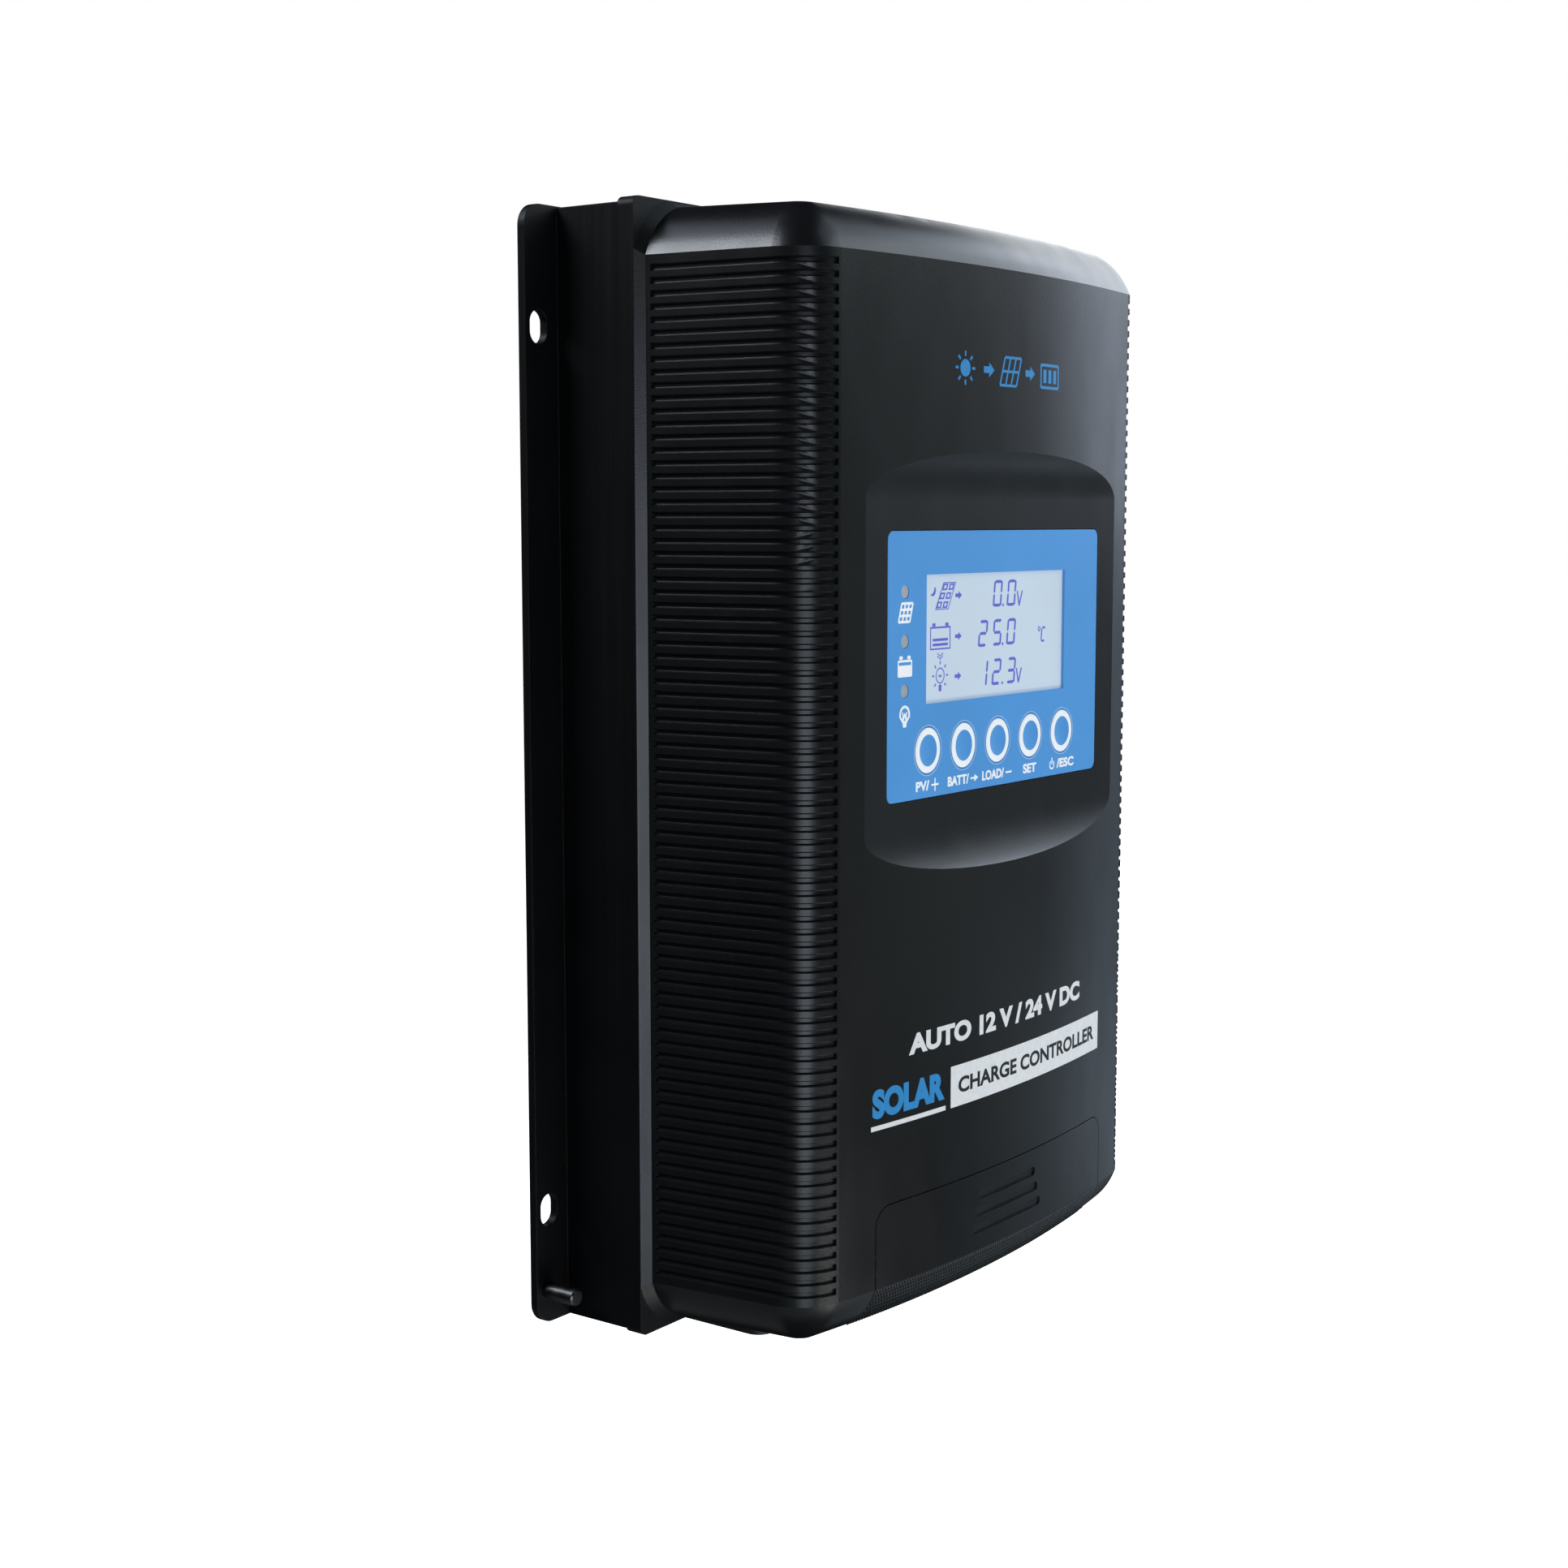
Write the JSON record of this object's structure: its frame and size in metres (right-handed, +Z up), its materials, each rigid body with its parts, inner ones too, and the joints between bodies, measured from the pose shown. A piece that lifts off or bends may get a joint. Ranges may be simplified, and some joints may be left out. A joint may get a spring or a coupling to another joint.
{
  "type": "solar charge controller",
  "caption": "Wall-mounted solar charge controller: finned heat sink base, ribbed front cover with display, keys and status lamps, slide-off terminal cover.",
  "frame": {"origin": "centre of the four wall slots, on the plane where the flanges and fin tips meet the wall", "axes": "+Z up along the long side, +Y into the wall, +X to the right of a person facing the front"},
  "size_m": [0.18, 0.0735, 0.255],
  "materials": {
    "black_aluminium": "black anodised, satin",
    "cover_plastic": "fine spark-eroded texture",
    "black_plastic": "moulded, matt",
    "label_film": "printed blue film, satin",
    "display_glass": "reflective display behind clear polariser",
    "light_guide": "milky acrylic",
    "frame_plastic": "moulded white",
    "circuit_board": "green solder mask over glass-epoxy",
    "key_plastic": "blue with a white printed ring",
    "lamp_plastic": "diffused grey epoxy",
    "bright_steel": "zinc plated",
    "dark_steel": "blackened steel",
    "brass": "nickel-free machined",
    "copper": "enamelled copper wire",
    "ferrite": "coated powder core",
    "capacitor_can": "aluminium can in a dark sleeve",
    "epoxy": "moulded epoxy package",
    "silicone": "thermal pad",
    "ribbon": "flat cable insulation",
    "socket_plastic": "glass-filled nylon",
    "yellow_film": "film capacitor case"
  },
  "bodies": {
    "controller": {"heat_sink": "black_aluminium", "heat_sink_fins": "black_aluminium", "earth_stud": "dark_steel", "power_transistors": "epoxy", "thermal_pad": "silicone", "clamp_bar": "bright_steel", "clamp_screws": "bright_steel", "board_standoffs": "brass", "main_board_screws": "bright_steel", "main_board": "circuit_board", "inductor_cores": "ferrite", "inductor_windings": "copper", "filter_capacitors": "capacitor_can", "current_shunts": "copper", "film_capacitors": "yellow_film", "auxiliary_transformer": "epoxy", "control_chips": "epoxy", "terminal_block": "black_plastic", "terminal_cages": "brass", "data_socket": "socket_plastic", "sensor_socket": "socket_plastic", "cable_inlet": "black_plastic", "display_board": "circuit_board", "ribbon_cable": "ribbon", "ribbon_sockets": "socket_plastic", "tact_switches": "epoxy", "lcd_glass": "display_glass", "lcd_backlight": "light_guide", "lcd_frame": "frame_plastic", "keypad_label": "label_film", "display_board_screws": "bright_steel", "cover_screws": "bright_steel", "front_cover": "cover_plastic", "led_panel": "lamp_plastic", "led_battery": "lamp_plastic", "led_load": "lamp_plastic"},
    "terminal_cover_body": {"terminal_cover": "cover_plastic"},
    "button_panel_key": {"button_panel": "key_plastic", "button_panel_plunger": "epoxy"},
    "button_battery_key": {"button_battery": "key_plastic", "button_battery_plunger": "epoxy"},
    "button_load_key": {"button_load": "key_plastic", "button_load_plunger": "epoxy"},
    "button_set_key": {"button_set": "key_plastic", "button_set_plunger": "epoxy"},
    "button_power_key": {"button_power": "key_plastic", "button_power_plunger": "epoxy"},
    "terminal_screw_1_body": {"terminal_screw_1": "bright_steel"},
    "terminal_screw_2_body": {"terminal_screw_2": "bright_steel"},
    "terminal_screw_3_body": {"terminal_screw_3": "bright_steel"},
    "terminal_screw_4_body": {"terminal_screw_4": "bright_steel"},
    "terminal_screw_5_body": {"terminal_screw_5": "bright_steel"},
    "terminal_screw_6_body": {"terminal_screw_6": "bright_steel"}
  },
  "joints": [
    {"name": "terminal_cover_slide", "type": "slide", "parent": "controller", "child": "terminal_cover_body", "axis": [0, 0, -1], "range_m": [0, 0.045]},
    {"name": "button_panel_press", "type": "slide", "parent": "controller", "child": "button_panel_key", "axis": [0, 1, 0], "range_m": [0, 0.0005], "stiffness_N_per_m": 1200, "springref_m": -0.0005},
    {"name": "button_battery_press", "type": "slide", "parent": "controller", "child": "button_battery_key", "axis": [0, 1, 0], "range_m": [0, 0.0005], "stiffness_N_per_m": 1200, "springref_m": -0.0005},
    {"name": "button_load_press", "type": "slide", "parent": "controller", "child": "button_load_key", "axis": [0, 1, 0], "range_m": [0, 0.0005], "stiffness_N_per_m": 1200, "springref_m": -0.0005},
    {"name": "button_set_press", "type": "slide", "parent": "controller", "child": "button_set_key", "axis": [0, 1, 0], "range_m": [0, 0.0005], "stiffness_N_per_m": 1200, "springref_m": -0.0005},
    {"name": "button_power_press", "type": "slide", "parent": "controller", "child": "button_power_key", "axis": [0, 1, 0], "range_m": [0, 0.0005], "stiffness_N_per_m": 1200, "springref_m": -0.0005},
    {"name": "terminal_screw_1_turn", "type": "hinge", "parent": "controller", "child": "terminal_screw_1_body", "pos_m": [-0.039, -0.047, -0.109], "axis": [0, -1, 0], "range_deg": [0, 1080]},
    {"name": "terminal_screw_2_turn", "type": "hinge", "parent": "controller", "child": "terminal_screw_2_body", "pos_m": [-0.0234, -0.047, -0.109], "axis": [0, -1, 0], "range_deg": [0, 1080]},
    {"name": "terminal_screw_3_turn", "type": "hinge", "parent": "controller", "child": "terminal_screw_3_body", "pos_m": [-0.0078, -0.047, -0.109], "axis": [0, -1, 0], "range_deg": [0, 1080]},
    {"name": "terminal_screw_4_turn", "type": "hinge", "parent": "controller", "child": "terminal_screw_4_body", "pos_m": [0.0078, -0.047, -0.109], "axis": [0, -1, 0], "range_deg": [0, 1080]},
    {"name": "terminal_screw_5_turn", "type": "hinge", "parent": "controller", "child": "terminal_screw_5_body", "pos_m": [0.0234, -0.047, -0.109], "axis": [0, -1, 0], "range_deg": [0, 1080]},
    {"name": "terminal_screw_6_turn", "type": "hinge", "parent": "controller", "child": "terminal_screw_6_body", "pos_m": [0.039, -0.047, -0.109], "axis": [0, -1, 0], "range_deg": [0, 1080]}
  ]
}
